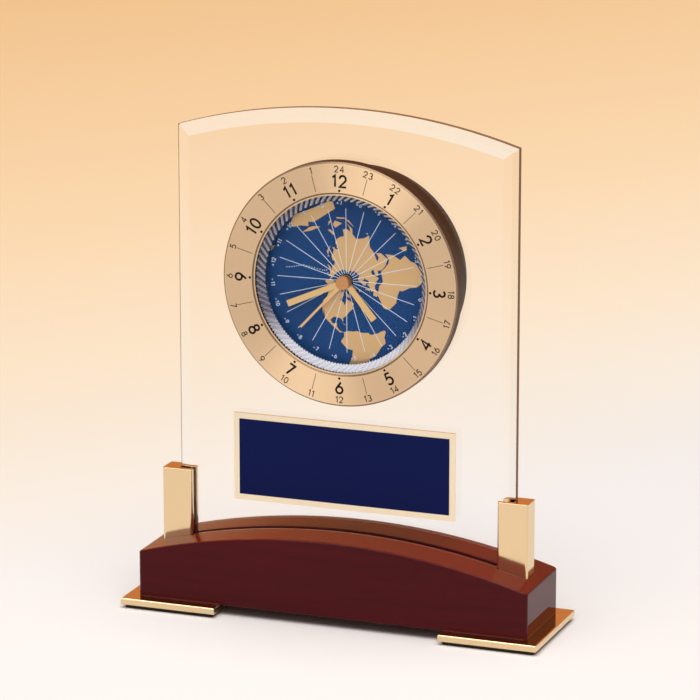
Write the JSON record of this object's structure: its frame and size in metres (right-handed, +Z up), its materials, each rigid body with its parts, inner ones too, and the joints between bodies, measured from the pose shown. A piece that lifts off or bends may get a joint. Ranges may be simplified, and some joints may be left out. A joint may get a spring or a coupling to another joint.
{
  "type": "world time clock",
  "caption": "Table clock with a world map disc and fixed numbered bezel, set in an arched bevelled glass panel held by brass posts on an arched gloss wooden base.",
  "frame": {"origin": "on the table surface, under the middle of the base", "axes": "+Z up, +X to the right seen from the front, the dial faces -Y"},
  "size_m": [0.1718, 0.0486, 0.2015],
  "materials": {
    "gloss_wood": "dark red-brown wood under a high-gloss lacquer",
    "polished_brass": "polished and lacquered brass",
    "felt": "dark felt",
    "steel": "plain steel",
    "clear_glass": "clear polished glass with a ground and polished bevel",
    "pale_gold": "pale gold anodised sheet",
    "navy_enamel": "dark blue satin coating",
    "brushed_champagne": "circular-brushed champagne anodising",
    "clear_acrylic": "clear moulded acrylic",
    "bronze_case": "bronze-coloured smooth case",
    "black_rubber": "soft black rubber",
    "black_plastic": "fine-textured black moulding",
    "board_green": "green solder mask",
    "copper_wire": "enamelled copper winding",
    "battery_jacket": "plain printed steel jacket",
    "blue_disc": "blue lacquered disc with printed gold land",
    "white_plastic": "white acetal moulding",
    "gear_brass": "turned brass",
    "hand_gold": "gold-plated brass",
    "magnet": "sintered magnet"
  },
  "bodies": {
    "stand": {"wood_base": "gloss_wood", "foot_plate_left": "polished_brass", "foot_plate_right": "polished_brass", "foot_felt_left": "felt", "foot_felt_right": "felt", "post_left": "polished_brass", "post_right": "polished_brass", "post_screws": "steel", "plate_screws": "steel", "glass_panel": "clear_glass", "name_plate": "pale_gold", "name_plate_panel": "navy_enamel", "bezel_ring": "brushed_champagne", "crystal": "clear_acrylic", "clock_case": "bronze_case", "grip_ring": "black_rubber", "rear_cover": "black_plastic", "rear_cover_screws": "steel", "movement_plate": "black_plastic", "movement_tray": "black_plastic", "circuit_board": "board_green", "stator": "steel", "coil": "copper_wire", "battery": "battery_jacket", "battery_contacts": "steel"},
    "world_disc": {"world_disc": "blue_disc", "ring_gear": "white_plastic"},
    "hour": {"hour_wheel": "gear_brass", "hour_hand": "hand_gold"},
    "minute": {"cannon_pinion": "gear_brass", "minute_hand": "hand_gold"},
    "minute_wheel": {"minute_wheel": "white_plastic"},
    "idler": {"idler_gear": "white_plastic"},
    "setting": {"setting_shaft": "gear_brass", "setting_knob": "black_plastic"},
    "second": {"second_arbor": "gear_brass", "second_hand": "hand_gold", "hand_cap": "hand_gold"},
    "third": {"third_wheel": "white_plastic"},
    "centre": {"centre_wheel": "white_plastic"},
    "step": {"step_wheel": "white_plastic"},
    "rotor": {"rotor": "magnet"},
    "battery_door": {"battery_door": "black_plastic"}
  },
  "joints": [
    {"name": "world_disc_turn", "type": "hinge", "parent": "stand", "child": "world_disc", "pos_m": [0, 0, 0.1342], "axis": [0, 1, 0], "continuous": true},
    {"name": "hour_turn", "type": "hinge", "parent": "stand", "child": "hour", "pos_m": [0, 0, 0.1342], "axis": [0, 1, 0], "continuous": true},
    {"name": "minute_turn", "type": "hinge", "parent": "stand", "child": "minute", "pos_m": [0, 0, 0.1342], "axis": [0, 1, 0], "continuous": true},
    {"name": "minute_wheel_turn", "type": "hinge", "parent": "stand", "child": "minute_wheel", "pos_m": [0.012, 0, 0.1342], "axis": [0, 1, 0], "continuous": true},
    {"name": "idler_turn", "type": "hinge", "parent": "stand", "child": "idler", "pos_m": [-0.018, 0, 0.1342], "axis": [0, 1, 0], "continuous": true},
    {"name": "setting_turn", "type": "hinge", "parent": "stand", "child": "setting", "pos_m": [0.012, 0, 0.1462], "axis": [0, 1, 0], "continuous": true},
    {"name": "second_turn", "type": "hinge", "parent": "stand", "child": "second", "pos_m": [0, 0, 0.1342], "axis": [0, 1, 0], "continuous": true},
    {"name": "centre_turn", "type": "hinge", "parent": "stand", "child": "centre", "pos_m": [0, 0, 0.1342], "axis": [0, 1, 0], "continuous": true},
    {"name": "third_turn", "type": "hinge", "parent": "stand", "child": "third", "pos_m": [-0.00883, 0, 0.1393], "axis": [0, 1, 0], "continuous": true},
    {"name": "step_turn", "type": "hinge", "parent": "stand", "child": "step", "pos_m": [0.0042, 0, 0.14147], "axis": [0, 1, 0], "continuous": true},
    {"name": "rotor_turn", "type": "hinge", "parent": "stand", "child": "rotor", "pos_m": [-0.003, 0, 0.14147], "axis": [0, 1, 0], "continuous": true},
    {"name": "battery_door_lift", "type": "slide", "parent": "stand", "child": "battery_door", "axis": [0, 1, 0], "range_m": [0, 0.02]}
  ],
  "couplings": [
    {"joint": "hour_turn", "follows": "world_disc_turn", "ratio": -2},
    {"joint": "minute_turn", "follows": "world_disc_turn", "ratio": -24},
    {"joint": "minute_wheel_turn", "follows": "world_disc_turn", "ratio": 8},
    {"joint": "idler_turn", "follows": "world_disc_turn", "ratio": 4},
    {"joint": "setting_turn", "follows": "world_disc_turn", "ratio": -24},
    {"joint": "third_turn", "follows": "second_turn", "ratio": -0.125},
    {"joint": "centre_turn", "follows": "second_turn", "ratio": 0.016667},
    {"joint": "step_turn", "follows": "second_turn", "ratio": -6},
    {"joint": "rotor_turn", "follows": "second_turn", "ratio": 30}
  ]
}
